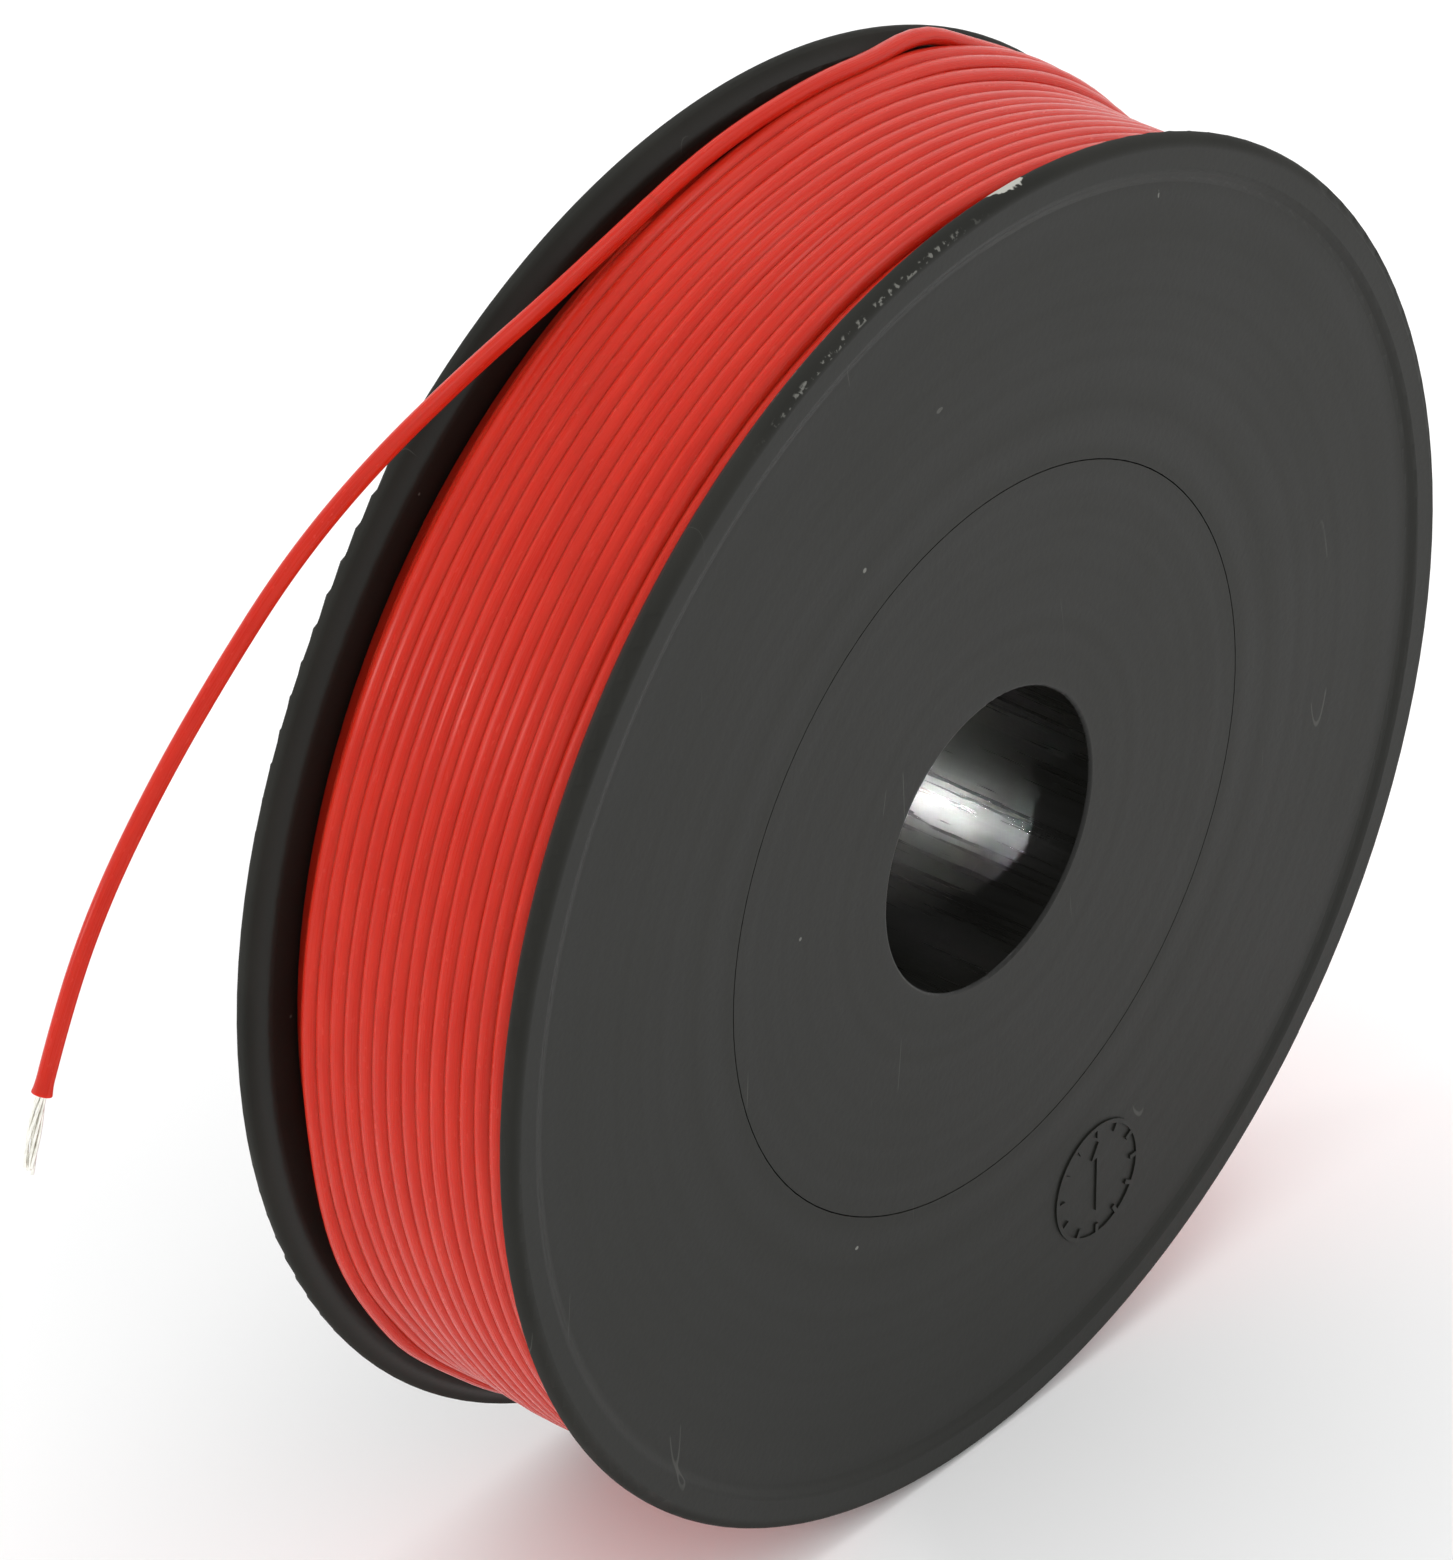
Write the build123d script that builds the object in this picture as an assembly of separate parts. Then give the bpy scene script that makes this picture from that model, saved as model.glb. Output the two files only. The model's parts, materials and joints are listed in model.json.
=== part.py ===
"""Wire spool: a two-flanged plastic spool full of thin red hook-up wire.

The spool's axis is +Y, +Z is up, and the origin is the middle of the bore.
The wire's loose end leaves the winding near the top and hangs out on the -X side.
Lengths are millimetres.
"""

import os
from math import atan2, cos, degrees, pi, radians, sin, sqrt, tan

from build123d import *

# --- spool, overall ---------------------------------------------------------------
FLANGE_DIAMETER = 90.0
SPOOL_WIDTH = 21.0          # from flat face to flat face, without the rim beads
BORE_DIAMETER = 19.8
BORE_EDGE_ROUND = 0.25

# --- flanges ----------------------------------------------------------------------
FLANGE_THICKNESS = 1.6
BEAD_WIDTH = 2.8            # from the rim in to where the flat face starts
BEAD_SLOPE = 0.6            # radial run of the slope up to the bead
BEAD_RISE = 0.35
BEAD_FOOT_ROUND = 0.8
BEAD_CREST_ROUND = 0.6
RIM_LAND = 1.0              # width of the rim's outer face, from the bead's crest
RIM_TAPER = 1.2             # radial run of the taper from the land in to the inner face
RIM_OUTER_ROUND = 0.75
RIM_LAND_ROUND = 0.4
RIM_INNER_ROUND = 0.8
HUB_SEAT_DIAMETER = 49.0    # the hole in the flange's face that the hub plate fills
HUB_SEAT_DEPTH = 0.9
HUB_LEDGE = 2.0             # radial width of the ledge under the hub plate's edge

# --- barrel that carries the wire, pushed over a spigot on each flange ------------
SPIGOT_WALL = 1.45
SPIGOT_LENGTH = 2.5         # how far each flange's spigot reaches into the barrel
SPIGOT_CLEARANCE = 0.05
BARREL_WALL = 1.5
ANCHOR_HOLE_CLEARANCE = 0.4  # more than the wire that passes through it
ANCHOR_ANGLE = -60.0        # degrees from +X, seen from the front

# --- hub plates, each with half of the bore tube ----------------------------------
SEAM_GAP = 0.08             # the fine ring round the hub plate
HUB_TUBE_WALL = 1.6
LAP_LENGTH = 1.5            # the front tube's nose inside the rear tube
LAP_CLEARANCE = 0.03
RIB_COUNT = 6
RIB_THICKNESS = 1.2
RIB_MIDDLE_GAP = 5.0        # free space between the front and the rear ribs
RIB_TURN = 15.0             # degrees that the ribs are turned from the X axis

# --- moulding mark on the front face: a plain date dial without numbers -----------
DIAL_ANGLE = -70.0          # degrees from +X, seen from the front
DIAL_RADIUS = 4.2
DIAL_LINE = 0.3
DIAL_RELIEF = 0.12
DIAL_TICKS = 12
DIAL_TICK_LENGTH = 0.9
DIAL_ARROW_LENGTH = 4.4
DIAL_ARROW_WIDTH = 1.5

# --- wire -------------------------------------------------------------------------
WIRE_DIAMETER = 1.1
STRAND_DIAMETER = 0.2
STRAND_AIR = 0.005          # between one strand and the next
CORE_CLEARANCE = 0.01
CORE_DEPTH = 5.0            # how far the bare strands are modelled inside the insulation
WINDING_MARGIN = 1.4        # how far the rims stand proud of the winding
NESTING = sqrt(3) / 2       # height of one layer, in wire diameters
SHOULDER = 1.2              # the winding's corners fall away beside the flanges
TOP_LAYER_MARGIN = 1.4      # free width beside the last layer
EXIT_INSET = 0.5            # from the last layer's rear edge to the loose end's middle
END_GAP = 0.4               # between the fixed lead and the swinging end

# The loose end's route, from the winding's top to where the insulation is cut.
# The second point is where it swings.
ROUTE = [
    (-10.6, 7.0, 42.86),
    (-18.9, 7.0, 40.85),
    (-27.4, 6.9, 39.3),
    (-35.9, 6.8, 37.15),
    (-43.2, 6.8, 33.95),
    (-49.6, 6.8, 29.4),
    (-55.3, 6.8, 24.6),
    (-60.2, 6.8, 19.3),
    (-63.6, 6.8, 13.7),
    (-65.6, 6.8, 8.95),
]
LAST_TURN_SWEEP = 75.0      # degrees of the last turn that lie free on the winding
STRAND_LENGTHS = [4.7, 4.3, 4.9, 4.5, 4.0, 4.6, 4.8]    # beyond the insulation
STRAND_SPLAYS = [0.0, 2.4, 1.0, 3.0, 0.8, 2.0, 1.4]     # degrees, the middle one first
START_INSIDE = 9.0          # wire left lying inside the barrel, past the anchor hole
START_BEND = 2.2

# --- worked out -------------------------------------------------------------------
flange_radius = FLANGE_DIAMETER / 2
bore_radius = BORE_DIAMETER / 2
face_y = SPOOL_WIDTH / 2
inner_y = face_y - FLANGE_THICKNESS
seat_radius = HUB_SEAT_DIAMETER / 2
seat_y = face_y - HUB_SEAT_DEPTH
ledge_radius = seat_radius - HUB_LEDGE
spigot_radius = ledge_radius + SPIGOT_WALL
barrel_bore = spigot_radius + SPIGOT_CLEARANCE
barrel_radius = barrel_bore + BARREL_WALL
bead_foot = flange_radius - BEAD_WIDTH
dial_distance = (seat_radius + bead_foot) / 2
tube_radius = bore_radius + HUB_TUBE_WALL
lap_radius = bore_radius + HUB_TUBE_WALL / 2
wire_radius = WIRE_DIAMETER / 2
layer_height = WIRE_DIAMETER * NESTING
winding_radius = flange_radius - WINDING_MARGIN
core_radius = winding_radius - layer_height
strand_radius = STRAND_DIAMETER / 2
strand_pitch = STRAND_DIAMETER + STRAND_AIR
conductor_radius = strand_pitch + strand_radius
exit_radius = winding_radius + wire_radius
exit_y = inner_y - TOP_LAYER_MARGIN - EXIT_INSET


def turned(points):
    """A solid of revolution about the spool's axis from (radius, y) points."""
    with BuildSketch() as sketch:
        with BuildLine():
            Polyline(*points, close=True)
        make_face()
    return revolve(sketch.sketch, Axis.Y, 360)


def mirrored(shape):
    """The same piece for the other side of the spool."""
    return shape.mirror(Plane.XZ)


def flange():
    """Rear flange: an annular disc with a rim bead, a hub seat and a barrel spigot."""
    bead_y = face_y + BEAD_RISE
    rounds = [BEAD_FOOT_ROUND, BEAD_CREST_ROUND, RIM_OUTER_ROUND, RIM_LAND_ROUND, RIM_INNER_ROUND]
    with BuildSketch() as sketch:
        with BuildLine():
            rim = FilletPolyline(
                (dial_distance, face_y),
                (bead_foot, face_y),
                (bead_foot + BEAD_SLOPE, bead_y),
                (flange_radius, bead_y),
                (flange_radius, bead_y - RIM_LAND),
                (flange_radius - RIM_TAPER, inner_y),
                (dial_distance, inner_y),
                radius=rounds,
            )
            Polyline(
                rim @ 1,
                (spigot_radius, inner_y),
                (spigot_radius, inner_y - SPIGOT_LENGTH),
                (ledge_radius, inner_y - SPIGOT_LENGTH),
                (ledge_radius, seat_y),
                (seat_radius, seat_y),
                (seat_radius, face_y),
                rim @ 0,
            )
        make_face()
    return revolve(sketch.sketch, Axis.Y, 360)


def dial():
    """The raised moulding mark: a ring, its ticks and an arrow."""
    with BuildSketch() as sketch:
        Circle(DIAL_RADIUS)
        Circle(DIAL_RADIUS - DIAL_LINE, mode=Mode.SUBTRACT)
        with PolarLocations(DIAL_RADIUS - DIAL_TICK_LENGTH / 2, DIAL_TICKS):
            Rectangle(DIAL_TICK_LENGTH, DIAL_LINE)
        Rectangle(DIAL_LINE, DIAL_ARROW_LENGTH)
        with Locations((0, DIAL_ARROW_LENGTH / 2)):
            RegularPolygon(DIAL_ARROW_WIDTH / 2, 3, rotation=90)
    across = dial_distance * cos(radians(DIAL_ANGLE))
    height = dial_distance * sin(radians(DIAL_ANGLE))
    place = Plane(origin=(across, -face_y, height), x_dir=(1, 0, 0), z_dir=(0, -1, 0))
    return place * extrude(sketch.sketch, DIAL_RELIEF, both=True)


def barrel():
    """The tube that the wire is wound on, with a hole for the wire's inner end."""
    tube = turned([
        (barrel_bore, -inner_y),
        (barrel_radius, -inner_y),
        (barrel_radius, inner_y),
        (barrel_bore, inner_y),
    ])
    hole = Cylinder((WIRE_DIAMETER + ANCHOR_HOLE_CLEARANCE) / 2, 2 * BARREL_WALL)
    hole = Pos((barrel_bore + barrel_radius) / 2, 0, 0) * Rot(0, 90, 0) * hole
    return tube - Rot(0, -ANCHOR_ANGLE, 0) * hole


def hub(tube_points):
    """Rear hub plate: a stepped disc, its half of the bore tube and radial ribs."""
    plate_radius = seat_radius - SEAM_GAP
    step_radius = ledge_radius - SEAM_GAP
    plate = turned([
        (lap_radius, seat_y),
        (plate_radius, seat_y),
        (plate_radius, face_y),
        (lap_radius, face_y),
    ])
    step = turned([
        (lap_radius, inner_y),
        (step_radius, inner_y),
        (step_radius, seat_y),
        (lap_radius, seat_y),
    ])
    piece = plate + step + turned(tube_points)
    rib_height = inner_y - RIB_MIDDLE_GAP / 2
    rib_length = step_radius - tube_radius
    rib = Box(rib_length + HUB_TUBE_WALL / 2, rib_height, RIB_THICKNESS)
    rib_x = step_radius - (rib_length + HUB_TUBE_WALL / 2) / 2
    rib = Pos(rib_x, RIB_MIDDLE_GAP / 2 + rib_height / 2, 0) * rib
    for index in range(RIB_COUNT):
        piece += Rot(0, RIB_TURN + index * 360 / RIB_COUNT, 0) * rib
    mouth = [
        edge
        for edge in piece.edges().filter_by(GeomType.CIRCLE)
        if abs(edge.radius - bore_radius) < 1e-6 and abs(edge.center().Y - face_y) < 1e-6
    ]
    return fillet(mouth, BORE_EDGE_ROUND)


def rear_tube():
    """The rear half of the bore tube, thinned where the front half's nose goes in."""
    return [
        (bore_radius, LAP_LENGTH),
        (lap_radius + LAP_CLEARANCE, LAP_LENGTH),
        (lap_radius + LAP_CLEARANCE, 0),
        (tube_radius, 0),
        (tube_radius, face_y),
        (bore_radius, face_y),
    ]


def front_tube():
    """The front half of the bore tube, drawn on the rear side, with its nose."""
    return [
        (bore_radius, -LAP_LENGTH),
        (lap_radius, -LAP_LENGTH),
        (lap_radius, 0),
        (tube_radius, 0),
        (tube_radius, face_y),
        (bore_radius, face_y),
    ]


def winding():
    """All layers but the last: one closed ring of their outer shape."""
    return turned([
        (barrel_radius, -inner_y),
        (core_radius - SHOULDER, -inner_y),
        (core_radius, SHOULDER - inner_y),
        (core_radius, inner_y - SHOULDER),
        (core_radius - SHOULDER, inner_y),
        (barrel_radius, inner_y),
    ])


def top_layer():
    """The last layer of turns, as a closed ring of its outer shape."""
    half = inner_y - TOP_LAYER_MARGIN
    edge = layer_height / 2
    with BuildSketch() as sketch:
        with BuildLine():
            Polyline(
                (core_radius, half),
                (core_radius, -half),
                (winding_radius - edge, -half),
                (winding_radius, edge - half),
                (winding_radius, half - edge),
                (winding_radius - edge, half),
                close=True,
            )
        make_face()
    return revolve(sketch.sketch, Axis.Y, 360)


def arc_radii(points):
    """The radius of each corner's arc: 0.45 of the shorter run over tan(half the turn)."""
    radii = []
    for before, corner, after in zip(points, points[1:], points[2:]):
        run_in = corner - before
        run_out = after - corner
        turn = radians(run_in.get_angle(run_out))
        radii.append(0.45 * min(run_in.length, run_out.length) / tan(turn / 2))
    return radii


def round_sweep(path, radius):
    """A round bar along a path, square to it at both ends."""
    start = Plane(origin=path @ 0, z_dir=path % 0)
    return sweep(start * Circle(radius), path=path)


def placed_route():
    """The route's points, moved so that the first lies on the last layer."""
    first = Vector(ROUTE[0])
    radial = Vector(first.X, 0, first.Z)
    shift = radial.normalized() * exit_radius - radial + Vector(0, exit_y - first.Y, 0)
    return [Vector(point) + shift for point in ROUTE]


def route_path(points):
    """The whole loose end as straight runs joined by tangent arcs."""
    radii = arc_radii(points)
    print("route arc radii", [round(radius, 1) for radius in radii])
    return FilletPolyline(*points, radius=radii)


def loose_end(points):
    """The fixed lead, and the swinging end with a socket for its bare strands."""
    path = route_path(points)
    whole = round_sweep(path, wire_radius)
    expected = pi * wire_radius ** 2 * path.length
    print("route length", round(path.length, 2), "volume", round(whole.volume, 3), "of", round(expected, 3))
    pivot = points[1]
    first_run = (pivot - points[0]).normalized()
    second_run = (points[2] - pivot).normalized()
    across = (first_run + second_run).normalized()
    reach = FLANGE_DIAMETER
    before = Plane(origin=pivot - across * END_GAP / 2, z_dir=across * -1)
    after = Plane(origin=pivot + across * END_GAP / 2, z_dir=across)
    lead = whole & (before * Box(reach, reach, reach, align=(Align.CENTER, Align.CENTER, Align.MIN)))
    far = 2 * reach
    end = whole & (after * Box(far, far, far, align=(Align.CENTER, Align.CENTER, Align.MIN)))
    last_run = (points[-1] - points[-2]).normalized()
    bore = Plane(origin=points[-1], z_dir=last_run * -1)
    socket = Cylinder(conductor_radius + CORE_CLEARANCE, CORE_DEPTH,
                      align=(Align.CENTER, Align.CENTER, Align.MIN))
    return lead, end - bore * socket


def last_turn(leads_to):
    """The stretch of the last turn that lies free on the winding and leads to the route."""
    end = degrees(atan2(leads_to.Z, leads_to.X))
    first = radians(end - LAST_TURN_SWEEP)
    middle = radians(end - LAST_TURN_SWEEP / 2)
    path = ThreePointArc(
        (exit_radius * cos(first), exit_y, exit_radius * sin(first)),
        (exit_radius * cos(middle), exit_y, exit_radius * sin(middle)),
        leads_to,
    )
    return round_sweep(path, wire_radius)


def strands(points):
    """Seven bare strands, held in the insulation's end and splayed beyond it."""
    cut = points[-1]
    along = (cut - points[-2]).normalized()
    side = Vector(0, 1, 0).cross(along).normalized()
    up = along.cross(side)
    pieces = []
    for index, (length, splay) in enumerate(zip(STRAND_LENGTHS, STRAND_SPLAYS)):
        turn = radians(60 * index)
        out = side * cos(turn) + up * sin(turn)
        offset = out * (strand_pitch if index else 0)
        root = cut - along * CORE_DEPTH + offset
        bend = cut + offset
        lean = along * cos(radians(splay)) + out * sin(radians(splay))
        tip = bend + lean * length
        if splay:
            path = FilletPolyline(root, bend, tip, radius=length)
        else:
            path = Line(root, tip)
        pieces.append(round_sweep(path, strand_radius))
    return pieces


def wire_start():
    """The wire's inner end, through the barrel's anchor hole and along its inside."""
    inside = barrel_bore - wire_radius - START_BEND
    path = FilletPolyline(
        (barrel_radius, 0, 0),
        (inside, 0, 0),
        (inside, 0, -START_INSIDE),
        radius=START_BEND,
    )
    return Rot(0, -ANCHOR_ANGLE, 0) * round_sweep(path, wire_radius)


def write(name, shape):
    """One STEP file for each sub-part, named after its node."""
    shape.label = name
    export_step(shape, os.path.join("parts", name + ".step"))


os.makedirs("parts", exist_ok=True)
route = placed_route()
print("layers", round((winding_radius - barrel_radius) / layer_height, 2), "pivot", route[1])
write("rear_flange", flange())
write("front_flange", mirrored(flange()) + dial())
write("winding_barrel", barrel())
write("rear_hub", hub(rear_tube()))
write("front_hub", mirrored(hub(front_tube())))
write("wire_winding", winding())
write("wire_top_layer", top_layer())
write("wire_last_turn", last_turn(route[0]))
write("wire_start", wire_start())
wire_lead, wire_end = loose_end(route)
write("wire_lead", wire_lead)
write("wire_end", wire_end)
for number, strand in enumerate(strands(route), start=1):
    write("strand_" + str(number), strand)
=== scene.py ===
"""The looks of the wire spool.

Wound red hook-up wire, its loose end, moulded plastic, light and camera.
"""

import json
import math

import bpy
import numpy as np
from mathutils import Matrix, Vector, noise


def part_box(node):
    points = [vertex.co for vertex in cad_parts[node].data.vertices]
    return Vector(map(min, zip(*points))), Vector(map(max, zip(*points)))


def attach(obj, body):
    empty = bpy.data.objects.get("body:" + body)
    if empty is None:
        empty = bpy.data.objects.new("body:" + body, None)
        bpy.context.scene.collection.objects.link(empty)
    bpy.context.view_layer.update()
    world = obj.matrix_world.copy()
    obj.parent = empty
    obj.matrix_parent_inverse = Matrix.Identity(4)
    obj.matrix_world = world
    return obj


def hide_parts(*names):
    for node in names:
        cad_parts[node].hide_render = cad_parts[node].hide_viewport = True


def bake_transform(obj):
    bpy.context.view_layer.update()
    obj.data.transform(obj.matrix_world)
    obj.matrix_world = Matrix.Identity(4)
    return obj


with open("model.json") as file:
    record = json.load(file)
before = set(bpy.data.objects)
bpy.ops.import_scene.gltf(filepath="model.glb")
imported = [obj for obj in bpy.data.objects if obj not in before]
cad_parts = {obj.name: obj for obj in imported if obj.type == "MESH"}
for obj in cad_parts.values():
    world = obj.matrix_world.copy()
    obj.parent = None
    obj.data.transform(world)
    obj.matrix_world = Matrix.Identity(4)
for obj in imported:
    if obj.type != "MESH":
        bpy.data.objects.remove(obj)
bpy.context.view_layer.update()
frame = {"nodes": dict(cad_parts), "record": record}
nodes = frame["nodes"]

MM = 0.001
WIRE_DIAMETER = 1.1 * MM
WIRE_RADIUS = WIRE_DIAMETER / 2
LAYER_HEIGHT = WIRE_DIAMETER * math.sqrt(3) / 2
FLANGE_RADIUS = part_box("rear_flange")[1].z
BORE_RADIUS = frame["record"]["mounts"][0]["dims"]["r_mm"] * MM
BARREL_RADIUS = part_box("winding_barrel")[1].z
FRONT_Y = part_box("front_flange")[0].y
INNER_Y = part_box("winding_barrel")[1].y
WINDING_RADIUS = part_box("wire_top_layer")[1].z

# The loose end's route, from the winding's top to where the insulation is cut.
ROUTE = [
    (-10.6, 7.0, 42.86),
    (-18.9, 7.0, 40.85),
    (-27.4, 6.9, 39.3),
    (-35.9, 6.8, 37.15),
    (-43.2, 6.8, 33.95),
    (-49.6, 6.8, 29.4),
    (-55.3, 6.8, 24.6),
    (-60.2, 6.8, 19.3),
    (-63.6, 6.8, 13.7),
    (-65.6, 6.8, 8.95),
]
ROUTE_RESOLUTION = 24               # points along each stretch of the route's spline

# Marks on the front flange: place, stretch along each axis (small is long), reach and strength.
MARKS = [
    # the first is a pale patch at the top of the rim's edge, beside the wire
    ((1.3 * MM, FRONT_Y + 1.0 * MM, FLANGE_RADIUS), (0.38, 1.0, 1.0), 0.60 * MM, 1.0),
    ((15.4 * MM, FRONT_Y, 38.3 * MM), (1.0, 0.3, 0.3), 0.14 * MM, 0.35),
    ((-5.4 * MM, FRONT_Y, 33.0 * MM), (0.5, 0.3, 1.0), 0.20 * MM, 0.12),
    ((-18.2 * MM, FRONT_Y, 2.3 * MM), (1.0, 0.3, 1.0), 0.16 * MM, 0.30),
    ((-12.6 * MM, FRONT_Y, -23.3 * MM), (0.8, 0.3, 1.0), 0.16 * MM, 0.40),
]
PAINTED_HIGHLIGHT_MIDDLE = (-12.4 * MM, FRONT_Y, 43.0 * MM)       # middle of the rim's stretch that gets a painted dotted highlight


# ------------------------------------------------------------------ camera
CAMERA_AZIMUTH = math.radians(-50.6066)
CAMERA_ELEVATION = math.radians(33.2415)
CAMERA_DISTANCE = 688.5 * MM
CAMERA_RIGHT = -7.812 * MM          # how far the camera is moved to its own right
CAMERA_UP = 0.006 * MM              # and up
LENS = 260.777
SENSOR_WIDTH = 36


def make_camera():
    azimuth, elevation = CAMERA_AZIMUTH, CAMERA_ELEVATION
    right = Vector((math.cos(azimuth), math.sin(azimuth), 0))
    back = Vector((
        math.sin(azimuth) * math.cos(elevation),
        -math.cos(azimuth) * math.cos(elevation),
        math.sin(elevation),
    ))
    up = back.cross(right)
    data = bpy.data.cameras.new("camera")
    data.lens = LENS
    data.sensor_width = SENSOR_WIDTH
    data.clip_start = 0.05
    data.clip_end = 20
    camera = bpy.data.objects.new("camera", data)
    camera.location = back * CAMERA_DISTANCE + right * CAMERA_RIGHT + up * CAMERA_UP
    camera.rotation_mode = "QUATERNION"
    camera.rotation_quaternion = (-back).to_track_quat("-Z", "Y")
    bpy.context.scene.collection.objects.link(camera)
    bpy.context.scene.camera = camera


# ------------------------------------------------------------------ mesh helpers
def new_object(name, vertices, faces, smooth=True):
    mesh = bpy.data.meshes.new(name)
    mesh.from_pydata([tuple(v) for v in vertices], [], faces)
    mesh.update()
    mesh.polygons.foreach_set("use_smooth", [smooth] * len(mesh.polygons))
    piece = bpy.data.objects.new(name, mesh)
    bpy.context.scene.collection.objects.link(piece)
    return piece


def directions(centres):
    """The unit tangent at each of the centres."""
    tangents = np.gradient(np.asarray(centres, float), axis=0)
    return tangents / np.linalg.norm(tangents, axis=1)[:, None]


def tube_mesh(name, centres, radii, sides, tangents=None, widths=1.0):
    """A round bar along the centres, closed at both ends. The widths press it flat along Y.

    Its UV map runs along the wire in wire diameters, and once around it.
    """
    centres = np.asarray(centres, float)
    radii = np.broadcast_to(radii, len(centres))
    widths = np.broadcast_to(widths, len(centres))
    tangents = directions(centres) if tangents is None else np.asarray(tangents, float)
    first = np.array((0.0, 1.0, 0.0)) - tangents * tangents[:, 1:2]
    first /= np.linalg.norm(first, axis=1)[:, None]
    second = np.cross(tangents, first)
    turn = np.linspace(0, 2 * math.pi, sides, endpoint=False)
    ring = ((first * widths[:, None])[:, None, :] * np.cos(turn)[None, :, None]
            + second[:, None, :] * np.sin(turn)[None, :, None])
    vertices = (centres[:, None, :] + ring * radii[:, None, None]).reshape(-1, 3)
    count = len(centres)
    faces = []
    for i in range(count - 1):
        for j in range(sides):
            k = (j + 1) % sides
            faces.append((i * sides + j, i * sides + k, (i + 1) * sides + k, (i + 1) * sides + j))
    faces.append(tuple(reversed(range(sides))))
    faces.append(tuple((count - 1) * sides + j for j in range(sides)))
    piece = new_object(name, vertices, faces)
    mesh = piece.data
    for face in mesh.polygons[-2:]:
        face.use_smooth = False
    last_ring = (count - 1) * sides
    for edge in mesh.edges:
        low, high = sorted(edge.vertices)
        edge.use_edge_sharp = high < sides or low >= last_ring
    along = np.concatenate([[0], np.cumsum(np.linalg.norm(np.diff(centres, axis=0), axis=1))])
    along /= WIRE_DIAMETER
    values = np.zeros((len(mesh.loops), 2))
    index = 0
    for i in range(count - 1):
        for j in range(sides):
            for a, b in ((i, j), (i, j + 1), (i + 1, j + 1), (i + 1, j)):
                values[index] = (along[a], b / sides)
                index += 1
    mesh.uv_layers.new(name="wire").data.foreach_set("uv", values.ravel())
    return piece


def lathe(name, profile, segments):
    """A closed ring of revolution about the Y axis from (radius, y) points."""
    count = len(profile)
    vertices = []
    for s in range(segments):
        a = 2 * math.pi * s / segments
        vertices += [(r * math.cos(a), y, r * math.sin(a)) for r, y in profile]
    faces = []
    for s in range(segments):
        t = (s + 1) % segments
        for p in range(count):
            q = (p + 1) % count
            faces.append((s * count + p, t * count + p, t * count + q, s * count + q))
    return new_object(name, vertices, faces)


def spline_points(points):
    """Points read from the NURBS spline whose control points these are."""
    curve = bpy.data.curves.new("route", "CURVE")
    curve.dimensions = "3D"
    curve.resolution_u = ROUTE_RESOLUTION
    spline = curve.splines.new("NURBS")
    spline.points.add(len(points) - 1)
    for point, place in zip(spline.points, points):
        point.co = (*place, 1)
    spline.order_u = 3
    spline.use_endpoint_u = True
    holder = bpy.data.objects.new("route", curve)
    bpy.context.scene.collection.objects.link(holder)
    bpy.context.view_layer.update()
    mesh = bpy.data.meshes.new_from_object(holder)
    found = [v.co.copy() for v in mesh.vertices]
    bpy.data.objects.remove(holder)
    return found


# ------------------------------------------------------------------ material helpers
class Nodes:
    """A material's node tree, with short ways to add to it."""

    def __init__(self, name):
        self.material = bpy.data.materials.new(name)
        self.material.use_nodes = True
        self.tree = self.material.node_tree
        self.shader = self.tree.nodes["Principled BSDF"]

    def add(self, kind, inputs=None, **settings):
        """A node with its settings, and its inputs as values or as other nodes' outputs."""
        node = self.tree.nodes.new(kind)
        for key, value in settings.items():
            setattr(node, key, value)
        for key, value in (inputs or {}).items():
            self.put(node.inputs[key], value)
        return node

    def put(self, socket, value):
        if isinstance(value, bpy.types.NodeSocket):
            self.tree.links.new(value, socket)
        else:
            socket.default_value = value

    def math(self, operation, a, b=0.0):
        return self.add("ShaderNodeMath", {0: a, 1: b}, operation=operation).outputs[0]

    def between(self, value, low, high, to_low=0.0, to_high=1.0):
        """Maps low..high to to_low..to_high smoothly, and holds it beyond them."""
        inputs = {
            "Value": value,
            "From Min": low,
            "From Max": high,
            "To Min": to_low,
            "To Max": to_high,
        }
        node = self.add("ShaderNodeMapRange", inputs, interpolation_type="SMOOTHSTEP")
        return node.outputs["Result"]

    def vector(self, operation, a, b=(0, 0, 0)):
        return self.add("ShaderNodeVectorMath", {0: a, 1: b}, operation=operation)

    def scaled(self, vector, scale):
        return self.vector("MULTIPLY", vector, scale).outputs[0]

    def noise(self, vector, scale, detail=2.0):
        inputs = {"Vector": vector, "Scale": scale, "Detail": detail}
        return self.add("ShaderNodeTexNoise", inputs).outputs["Fac"]

    def round_bar(self, along):
        """A place on a bar without a seam round it, scaled along its length."""
        uv = self.add("ShaderNodeUVMap", uv_map="wire").outputs["UV"]
        parts = self.add("ShaderNodeSeparateXYZ", {0: uv}).outputs
        turn = self.math("MULTIPLY", parts["Y"], 2 * math.pi)
        return self.add("ShaderNodeCombineXYZ", {
            "X": self.math("MULTIPLY", parts["X"], along),
            "Y": self.math("COSINE", turn),
            "Z": self.math("SINE", turn),
        }).outputs[0]

    def mix(self, factor, a, b):
        """A mix of two colours."""
        node = self.add("ShaderNodeMix", data_type="RGBA")
        for socket, value in zip((node.inputs[0], node.inputs[6], node.inputs[7]), (factor, a, b)):
            self.put(socket, value)
        return node.outputs[2]

    def bump(self, height, distance, normal=None):
        inputs = {"Height": height, "Distance": distance, "Strength": 1.0}
        if normal:
            inputs["Normal"] = normal
        return self.add("ShaderNodeBump", inputs).outputs["Normal"]


def grey(level):
    return (level, level, level, 1)


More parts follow.
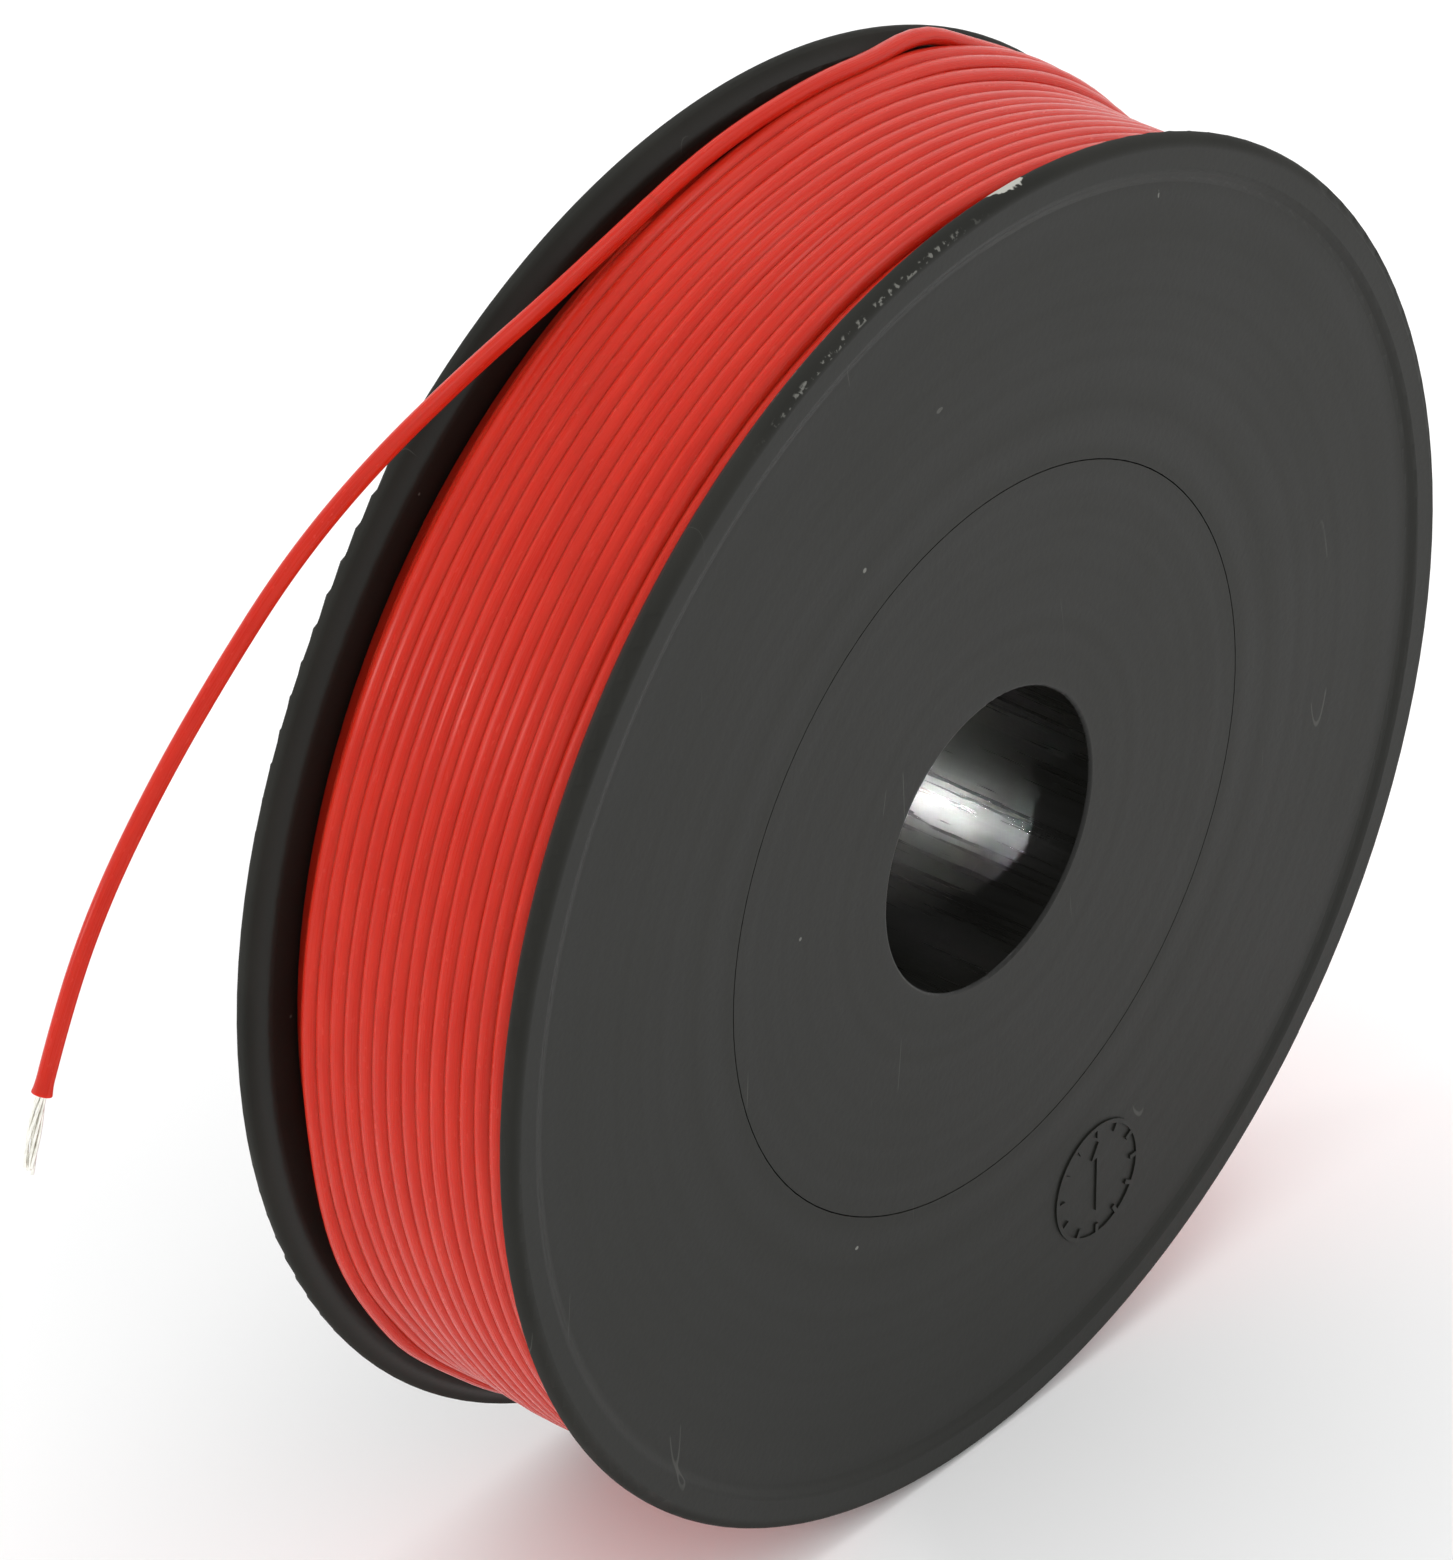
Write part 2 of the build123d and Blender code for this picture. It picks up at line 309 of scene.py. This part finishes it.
# ------------------------------------------------------------------ materials
RED = (0.490, 0.019, 0.008, 1)
RED_LIGHT = (0.530, 0.025, 0.011, 1)
RED_SCUFFED = (0.75, 0.16, 0.11, 1)
BLACK = (0.0095, 0.0098, 0.0078, 1)
BLACK_LIGHT = (0.0125, 0.0128, 0.0104, 1)
BLACK_BORE_PAINTED_SHADE = (0.006, 0.006, 0.005, 1)
BLACK_RIM_PAINTED_SHEEN = (0.020, 0.020, 0.017, 1)
PALE_MARKS_AND_HIGHLIGHT = (0.42, 0.42, 0.38, 1)
TIN = (0.74, 0.73, 0.66, 1)
TIN_LIGHT = (0.92, 0.91, 0.85, 1)


def wire_material():
    """Extruded PVC: faint die lines along the wire, slow changes of shade, small scuffs."""
    m = Nodes("red_pvc")
    round_wire = m.round_bar(0.02)
    die_lines = m.noise(round_wire, 5.0, 3.0)
    lengthwise = m.scaled(round_wire, (8.0, 1.0, 1.0))
    shade = m.noise(lengthwise, 1.3, 2.0)
    scuffs = m.between(m.noise(m.scaled(round_wire, (60.0, 2.2, 2.2)), 1.6, 4.0), 0.62, 0.72)
    colour = m.mix(m.between(shade, 0.3, 0.7), RED, RED_LIGHT)
    colour = m.mix(m.math("MULTIPLY", scuffs, 0.10), colour, RED_SCUFFED)
    m.put(m.shader.inputs["Base Color"], colour)
    rough = m.between(die_lines, 0.3, 0.7, 0.24, 0.34)
    rough = m.math("ADD", rough, m.math("MULTIPLY", scuffs, 0.15))
    m.put(m.shader.inputs["Roughness"], rough)
    m.put(m.shader.inputs["Normal"], m.bump(die_lines, 0.012 * MM))
    m.shader.inputs["Specular IOR Level"].default_value = 0.16
    m.shader.inputs["Subsurface Weight"].default_value = 0.7
    m.shader.inputs["Subsurface Radius"].default_value = (1.0, 0.12, 0.08)
    m.shader.inputs["Subsurface Scale"].default_value = 0.8 * MM
    return m.material


def plastic_material():
    """Satin black polystyrene: grain, slow sink bands, specks, marks, a polished bore painted
    darker as shade, a rim band painted lighter as sheen, and a painted dotted highlight on the rim.
    """
    m = Nodes("black_plastic")
    place = m.add("ShaderNodeTexCoord").outputs["Object"]
    parts = m.add("ShaderNodeSeparateXYZ", {0: place}).outputs
    radius = m.math("SQRT", m.math("ADD", m.math("MULTIPLY", parts["X"], parts["X"]),
                                   m.math("MULTIPLY", parts["Z"], parts["Z"])))
    in_bore = m.between(radius, BORE_RADIUS + 0.30 * MM, BORE_RADIUS + 0.05 * MM)
    grain = m.noise(place, 2600.0, 3.0)
    cloud = m.noise(place, 60.0, 3.0)
    sink = m.add("ShaderNodeTexNoise", {"W": m.math("MULTIPLY", radius, 110.0), "Detail": 1.0},
                 noise_dimensions="1D").outputs["Fac"]
    axial = m.noise(m.scaled(place, (1.0, 0.035, 1.0)), 2600.0, 4.0)
    dots = m.add("ShaderNodeTexVoronoi", {"Vector": place, "Scale": 170.0, "Randomness": 1.0})
    chance = m.add("ShaderNodeSeparateXYZ", {0: dots.outputs["Color"]}).outputs["X"]
    speck = m.math("MULTIPLY", m.between(dots.outputs["Distance"], 0.035, 0.02),
                   m.math("GREATER_THAN", chance, 0.86))
    across = m.scaled(place, (1.0, 1.0, 0.12))
    scratch = m.math("ABSOLUTE", m.math("SUBTRACT", m.noise(across, 130.0, 1.0), 0.5))
    scratch = m.math("MULTIPLY", m.between(scratch, 0.0018, 0.0006),
                     m.between(m.noise(place, 190.0, 0.0), 0.68, 0.74))
    marks_and_highlight = m.math("MAXIMUM", m.math("MULTIPLY", speck, 0.35), m.math("MULTIPLY", scratch, 0.08))
    for spot, stretch, reach, strength in MARKS:
        away = m.vector("SUBTRACT", place, spot).outputs[0]
        away = m.vector("LENGTH", m.scaled(away, stretch)).outputs["Value"]
        ragged = m.math("ADD", away, m.math("MULTIPLY", m.math("SUBTRACT", grain, 0.5), reach))
        marks_and_highlight = m.math("MAXIMUM", marks_and_highlight, m.between(ragged, reach, reach * 0.8, 0.0, strength))
    # pale specks along the rim's edge near the top: a painted dotted highlight
    painted_highlight = m.vector("DISTANCE", place, PAINTED_HIGHLIGHT_MIDDLE).outputs["Value"]
    painted_highlight = m.between(painted_highlight, 12.0 * MM, 6.0 * MM)
    painted_highlight = m.math("MULTIPLY", painted_highlight, m.between(grain, 0.53, 0.62))
    edge = m.math("ABSOLUTE", m.math("SUBTRACT", radius, FLANGE_RADIUS - 0.35 * MM))
    painted_highlight = m.math("MULTIPLY", painted_highlight, m.between(edge, 0.22 * MM, 0.10 * MM))
    marks_and_highlight = m.math("MAXIMUM", marks_and_highlight, m.math("MULTIPLY", painted_highlight, 0.30))
    shade = m.math("ADD", m.math("MULTIPLY", cloud, 0.5), m.math("MULTIPLY", sink, 0.5))
    colour = m.mix(m.between(shade, 0.35, 0.65), BLACK, BLACK_LIGHT)
    # the bore is painted darker than the faces: painted shade inside the hole; its polish is in the
    # roughness below
    colour = m.mix(in_bore, colour, BLACK_BORE_PAINTED_SHADE)
    # a band near the flange's edge is painted lighter in patches, as painted sheen along the rim;
    # it is also made rougher
    rim = m.between(radius, FLANGE_RADIUS - 0.9 * MM, FLANGE_RADIUS - 0.2 * MM)
    colour = m.mix(m.math("MULTIPLY", rim, m.between(cloud, 0.3, 0.7)), colour, BLACK_RIM_PAINTED_SHEEN)
    # pale specks, scratches and marks, and the painted dotted highlight on the rim
    colour = m.mix(marks_and_highlight, colour, PALE_MARKS_AND_HIGHLIGHT)
    m.put(m.shader.inputs["Base Color"], colour)
    rough = m.math("ADD", m.between(shade, 0.3, 0.7, 0.40, 0.50), m.math("MULTIPLY", grain, 0.06))
    bore_rough = m.between(axial, 0.35, 0.65, 0.26, 0.38)
    rough = m.add("ShaderNodeMix", {0: in_bore, 2: rough, 3: bore_rough}).outputs[0]
    m.put(m.shader.inputs["Roughness"], m.math("ADD", rough, m.math("MULTIPLY", rim, 0.35)))
    fine = m.bump(grain, 0.010 * MM)
    waves = m.bump(sink, 0.015 * MM, fine)
    bore_lines = m.math("MULTIPLY", axial, in_bore)
    m.put(m.shader.inputs["Normal"], m.bump(bore_lines, 0.018 * MM, waves))
    m.shader.inputs["Specular IOR Level"].default_value = 0.24
    return m.material


def tin_material():
    """Tinned copper: bright drawn metal, with lines along the strand and duller patches."""
    m = Nodes("tinned_copper")
    round_strand = m.round_bar(0.3)
    lines = m.noise(round_strand, 6.0, 3.0)
    patches = m.noise(m.scaled(round_strand, (6.0, 1.0, 1.0)), 1.1, 2.0)
    colour = m.mix(m.between(patches, 0.35, 0.65), TIN, TIN_LIGHT)
    m.put(m.shader.inputs["Base Color"], colour)
    m.shader.inputs["Metallic"].default_value = 1
    m.put(m.shader.inputs["Roughness"], m.between(lines, 0.3, 0.7, 0.18, 0.36))
    m.put(m.shader.inputs["Normal"], m.bump(lines, 0.003 * MM))
    return m.material


# ------------------------------------------------------------------ the wound wire
SAMPLES = 180                       # centres in one turn
PRESSED = 1.34                      # how much wider than high the soft wire is in the winding
FIRST_Y = WIRE_RADIUS * 1.1 - INNER_Y
REAR_Y = 6.6 * MM                   # where the last layer ends before the turns lean back
PITCH = WIRE_DIAMETER * 1.003
REVERSAL = 0.5                      # turns that the wire takes to reverse at a flange
LEAN_FROM_Y = 1.5 * MM              # the turns past this lean to the rear flange
SIDE_WANDER = 0.10 * MM             # how far a turn wanders along Y
HEIGHT_WANDER = 0.05 * MM           # and outwards
EXIT_EASE = 0.02                    # last part of a turn that settles onto the loose end's start
ROUND_TO_PRESSED = 0.3              # last part of a turn over which the wire gets round again
WIRE_SIDES = 14
CORE_DEPTH = 2.2                    # layers between the core's top and the winding's
CORE_GAP = 0.15 * MM                # space between the core and each flange
CORE_SEGMENTS = 128
EXIT_ANGLE = math.atan2(ROUTE[0][2], ROUTE[0][0])
# The winding's outer radius in mm: rows are angles in degrees, columns are these places along Y.
SHAPE_Y = [-8.4, -4.0, 0.0, 2.7, 5.0, 6.6, 8.4]
SHAPE = {
    -60: [43.5, 43.5, 43.5, 43.5, 43.6, 43.7, 43.7],
    20: [43.5, 43.6, 43.6, 43.7, 44.3, 44.5, 44.5],
    54: [43.5, 43.6, 43.6, 43.75, 44.65, 44.9, 44.9],
    68: [43.5, 43.6, 43.6, 43.7, 44.2, 44.5, 44.6],
    80: [43.5, 43.6, 43.6, 43.7, 43.9, 44.0, 44.0],
    98: [43.5, 43.6, 43.6, 43.6, 43.65, 43.65, 43.6],
    186: [43.5, 43.55, 43.6, 43.6, 43.6, 43.6, 43.6],
    203: [43.4, 43.4, 43.4, 43.4, 43.7, 44.25, 44.3],
    214: [43.3, 43.2, 43.2, 43.05, 43.2, 44.0, 44.1],
    226: [43.3, 43.2, 43.2, 42.95, 42.7, 43.3, 43.5],
    250: [43.4, 43.4, 43.4, 43.3, 43.3, 43.4, 43.5],
    300: [43.5, 43.5, 43.5, 43.5, 43.6, 43.7, 43.7],
}
# How far the rearmost turns lean to the rear flange, in mm, by angle in degrees.
LEAN = [
    (-60, 0.6),
    (20, 1.5),
    (66, 1.65),
    (78, 1.1),
    (90, 0.5),
    (104, 0.0),
    (200, 0.0),
    (240, 0.3),
    (300, 0.6),
]
# The last turn on its way to the loose end: angle in degrees, y and outer radius in mm.
LAST_TURN_START = -120
LAST_TURN = [
    (-30, 8.2, 44.2),
    (20, 8.3, 44.6),
    (60, 8.3, 44.85),
    (64, 8.35, 45.1),
    (68, 8.35, 45.65),
    (71.5, 8.2, 45.3),
    (76, 7.55, 44.8),
    (88, 7.1, 44.7),
]
LAST_TURN_END = 104


def eased(share):
    """A smooth step from 0 to 1."""
    return share * share * (3 - 2 * share)


def smoothed(values, width):
    """A moving average with a bell-shaped window, held at both ends."""
    half = 3 * width
    window = np.exp(-0.5 * (np.arange(-half, half + 1) / width) ** 2)
    window /= window.sum()
    padded = np.concatenate([np.full(half, values[0]), values, np.full(half, values[-1])])
    return np.convolve(padded, window, "valid")


def shape_radius(angles, places):
    """The winding's outer radius at each angle (degrees, from -60 to 300) and place along Y."""
    rows = sorted(SHAPE)
    table = np.array([SHAPE[row] for row in rows])
    at = np.interp(angles, rows, np.arange(len(rows)))
    low = np.minimum(at.astype(int), len(rows) - 2)
    share = eased(at - low)
    found = np.zeros(len(places))
    for i, place in enumerate(places):
        row = table[low[i]] * (1 - share[i]) + table[low[i] + 1] * share[i]
        found[i] = np.interp(place / MM, SHAPE_Y, row)
    return found * MM


def wander(angle, turn):
    """A turn's slow wander, from -1 to 1."""
    return noise.noise(Vector((2.2 * math.cos(angle), 2.2 * math.sin(angle), turn * 1.7)))


def wind():
    """The centres of two layers of turns, and how far each is pressed flat.

    The lower layer runs from the rear to the front, and the upper one back to the loose end.
    """
    layer = (REAR_Y - FIRST_Y) / PITCH
    # turns in each leg, and the place along Y where it ends
    legs = [
        (0.0, REAR_Y + PITCH / 2),
        (layer + REVERSAL, FIRST_Y),
        (layer, REAR_Y),
        (REVERSAL, REAR_Y + 0.15 * MM),
    ]
    spans = np.cumsum([leg[0] for leg in legs])
    total = spans[-1]
    count = int(total * SAMPLES)
    left = np.arange(count, -1, -1) / SAMPLES        # turns still to come
    turns = total - left
    places = np.interp(turns, spans, [leg[1] for leg in legs])
    exact = math.degrees(EXIT_ANGLE) - left * 360
    angles = (exact + 60) % 360 - 60
    share = np.clip((places - LEAN_FROM_Y) / (REAR_Y - LEAN_FROM_Y), 0, 1)
    places = places + share * np.interp(angles, *zip(*LEAN)) * MM
    wobble = np.array([wander(math.radians(a), t) for a, t in zip(angles, turns)])
    places = np.clip(places + SIDE_WANDER * wobble, FIRST_Y, -FIRST_Y)
    upper = eased(np.clip((turns - spans[1] + REVERSAL / 2) / REVERSAL, 0, 1))
    heights = shape_radius(angles, places) - WIRE_RADIUS - (1 - upper) * LAYER_HEIGHT
    heights += HEIGHT_WANDER * np.roll(wobble, SAMPLES // 3)
    # the last turn climbs onto the others and runs exactly into the loose end
    end = math.hypot(ROUTE[0][0], ROUTE[0][2]) * MM
    exit_y = ROUTE[0][1] * MM
    start = np.searchsorted(exact, LAST_TURN_START)
    last_angles = [LAST_TURN_START] + [point[0] for point in LAST_TURN] + [LAST_TURN_END]
    last_places = [places[start]] + [point[1] * MM for point in LAST_TURN] + [exit_y]
    last_heights = [heights[start]] + [point[2] * MM - WIRE_RADIUS for point in LAST_TURN] + [end]
    places[start:] = np.interp(exact[start:], last_angles, last_places)
    heights[start:] = np.interp(exact[start:], last_angles, last_heights)
    places = smoothed(places, 1)
    heights = smoothed(heights, 1)
    ease = np.clip((EXIT_EASE - left) / EXIT_EASE, 0, 1)
    places = places * (1 - ease) + exit_y * ease
    heights = heights * (1 - ease) + end * ease
    radians = np.radians(exact)
    pressed = 1 + (PRESSED - 1) * np.clip(left / ROUND_TO_PRESSED, 0, 1)
    return np.stack([heights * np.cos(radians), places, heights * np.sin(radians)], 1), pressed


def make_winding(finish):
    centres, pressed = wind()
    wound = tube_mesh("wound_wire", centres, WIRE_RADIUS, WIRE_SIDES, widths=pressed)
    wound.data.materials.append(finish)
    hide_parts("wire_winding", "wire_top_layer", "wire_last_turn")
    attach(wound, "spool")


def make_core(finish):
    """The inner layers, seen only as the floor of the gaps between turns."""
    inner = BARREL_RADIUS
    outer = WINDING_RADIUS - CORE_DEPTH * LAYER_HEIGHT
    side = INNER_Y - CORE_GAP
    profile = [(inner, -side), (inner, side), (outer, side), (outer, -side)]
    core = lathe("wire_core", profile, CORE_SEGMENTS)
    core.data.materials.append(finish)
    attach(core, "spool")


# ------------------------------------------------------------------ the loose end
STRAND_RADIUS = 0.1 * MM
STRAND_LENGTHS = [4.7, 4.3, 4.9, 4.5, 4.0, 4.6, 4.8]
STRAND_SWELLS = [0.0, 0.75, 0.35, 0.60, 0.25, 0.55, 0.45]
STRAND_LAY = 14.0                   # length in which the strands go once around, mm
STRAND_INSIDE = 1.0                 # length of the strands in the insulation's end, mm
DROOP = 0.6                         # how far the strands' tips hang to the side, mm
STRAND_STEPS = 40                   # stretches along each strand
STRAND_WAVE = 0.03                  # how far a strand waves to the side, mm
STRAND_OUT = 0.205                  # how far the outer strands lie from the middle one, mm
STRAND_SIDES = 12
TAIL_SIDES = 20
# The insulation's cut end: distance from the cut in mm, radius in wire radii; flare, lip, bore.
CUT_PROFILE = [
    (0.90, 1.00),
    (0.60, 1.03),
    (0.30, 1.09),
    (0.12, 1.15),
    (0.03, 1.16),
    (0.00, 1.10),
    (0.00, 0.66),
    (0.05, 0.60),
    (0.20, 0.57),
    (0.80, 0.56),
]
CUT_MARGIN = 0.2                    # free length before the cut end's first ring, mm


def make_insulation(line, finish):
    """The loose end's insulation, flared where it was cut and open round the strands."""
    line = np.array(line)
    end = line[-1]
    along = directions(line)[-1]
    kept = line[np.linalg.norm(line - end, axis=1) > (CUT_PROFILE[0][0] + CUT_MARGIN) * MM]
    cut = np.array([end - along * distance * MM for distance, _ in CUT_PROFILE])
    centres = np.concatenate([kept, cut])
    tangents = np.concatenate([directions(line)[:len(kept)], np.repeat(along[None], len(cut), 0)])
    radii = [WIRE_RADIUS] * len(kept) + [WIRE_RADIUS * share for _, share in CUT_PROFILE]
    tail = tube_mesh("wire_tail", centres, radii, TAIL_SIDES, tangents)
    tail.data.materials.append(finish)
    return tail


def make_strands(cut, along, finish):
    """Seven bare strands that keep some of their lay, swell apart and droop a little."""
    side = Vector((0, 1, 0)).cross(along).normalized()
    up = along.cross(side)
    made = []
    for index, (length, swell) in enumerate(zip(STRAND_LENGTHS, STRAND_SWELLS)):
        centres = []
        for step in range(STRAND_STEPS + 1):
            s = -STRAND_INSIDE + (length + STRAND_INSIDE) * step / STRAND_STEPS
            free = max(s, 0) / length
            turn = math.radians(60 * index) + 2 * math.pi * s / STRAND_LAY
            spread = 1 + swell * math.sin(math.pi * min(free, 1) ** 0.8 * 0.8)
            out = (STRAND_OUT if index else 0) * spread
            wave = STRAND_WAVE * math.sin(5 * free + index)
            offset = side * (math.cos(turn) * out + wave * free) + up * math.sin(turn) * out
            centres.append(cut + (along * s + offset - side * DROOP * free ** 2) * MM)
        strand = tube_mesh("bare_strand_" + str(index + 1), centres, STRAND_RADIUS, STRAND_SIDES)
        strand.data.materials.append(finish)
        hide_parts("strand_" + str(index + 1))
        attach(strand, "wire_tail")
        made.append(strand)
    return made


def make_tail(finish, tin):
    route = [tuple(c * MM for c in p) for p in ROUTE]
    line = spline_points(route)
    tail = make_insulation(line, finish)
    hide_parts("wire_lead", "wire_end")
    strands = make_strands(line[-1], (line[-1] - line[-2]).normalized(), tin)
    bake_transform(tail)


# ------------------------------------------------------------------ the spool's own parts
def finish_node(name, finish):
    """Gives a CAD node a better material."""
    nodes[name].data.materials.clear()
    nodes[name].data.materials.append(finish)


# ------------------------------------------------------------------ stage and light
FLOOR_REACH = 3
WORLD_STRENGTH = 1.12
BEAM_ALONG = (0.50, 0.58, 0.66)     # how far each beam leans along the bore, as a sine
BEAM_DEGREES = (146, 153)           # its direction round the bore
BEAM_SIZE = (0.010, 0.016)
BEAM_POWER = 0.0007
BEAM_SPREAD = 1.5
BEAM_DISTANCE = 0.7


def make_stage():
    floor_z = -FLANGE_RADIUS
    ends = ((-1, -1), (1, -1), (1, 1), (-1, 1))
    corners = [(x * FLOOR_REACH, y * FLOOR_REACH, floor_z) for x, y in ends]
    floor = new_object("floor", corners, [(0, 1, 2, 3)], smooth=False)
    m = Nodes("floor")
    m.shader.inputs["Base Color"].default_value = grey(0.95)
    m.shader.inputs["Roughness"].default_value = 0.9
    floor.data.materials.append(m.material)


def area_light(name, direction, distance, size, power, spread=180):
    """A softbox in that direction from the spool's middle, turned towards it; spread in degrees."""
    data = bpy.data.lights.new(name, "AREA")
    data.shape = "RECTANGLE"
    data.size, data.size_y = size
    data.energy = power
    data.spread = math.radians(spread)
    light = bpy.data.objects.new(name, data)
    light.location = Vector(direction).normalized() * distance
    light.rotation_mode = "QUATERNION"
    light.rotation_quaternion = (-light.location).to_track_quat("-Z", "Y")
    bpy.context.scene.collection.objects.link(light)


def make_lights():
    world = bpy.data.worlds.new("world")
    bpy.context.scene.world = world
    world.use_nodes = True
    background = world.node_tree.nodes["Background"]
    background.inputs["Color"].default_value = grey(1)
    background.inputs["Strength"].default_value = WORLD_STRENGTH
    area_light("overhead", (0.335, -0.176, 0.918), 0.8, (0.16, 0.16), 0.55)
    area_light("behind_left", (-0.66, 0.68, 0.31), 0.7, (0.10, 0.10), 0.7)
    # narrow beams that shine into the bore from behind, clear of the wire
    for along in BEAM_ALONG:
        across = math.sqrt(1 - along ** 2)
        for degrees in BEAM_DEGREES:
            angle = math.radians(degrees)
            direction = (across * math.cos(angle), along, across * math.sin(angle))
            area_light(
                "bore_beam", direction, BEAM_DISTANCE, BEAM_SIZE, BEAM_POWER, BEAM_SPREAD
            )


make_camera()
red = wire_material()
black = plastic_material()
tinned = tin_material()
make_tail(red, tinned)
make_winding(red)
make_core(red)
for name in ("front_flange", "rear_flange", "front_hub", "rear_hub", "winding_barrel"):
    finish_node(name, black)
finish_node("wire_start", red)
make_stage()
make_lights()
bpy.context.scene.view_settings.view_transform = "Standard"
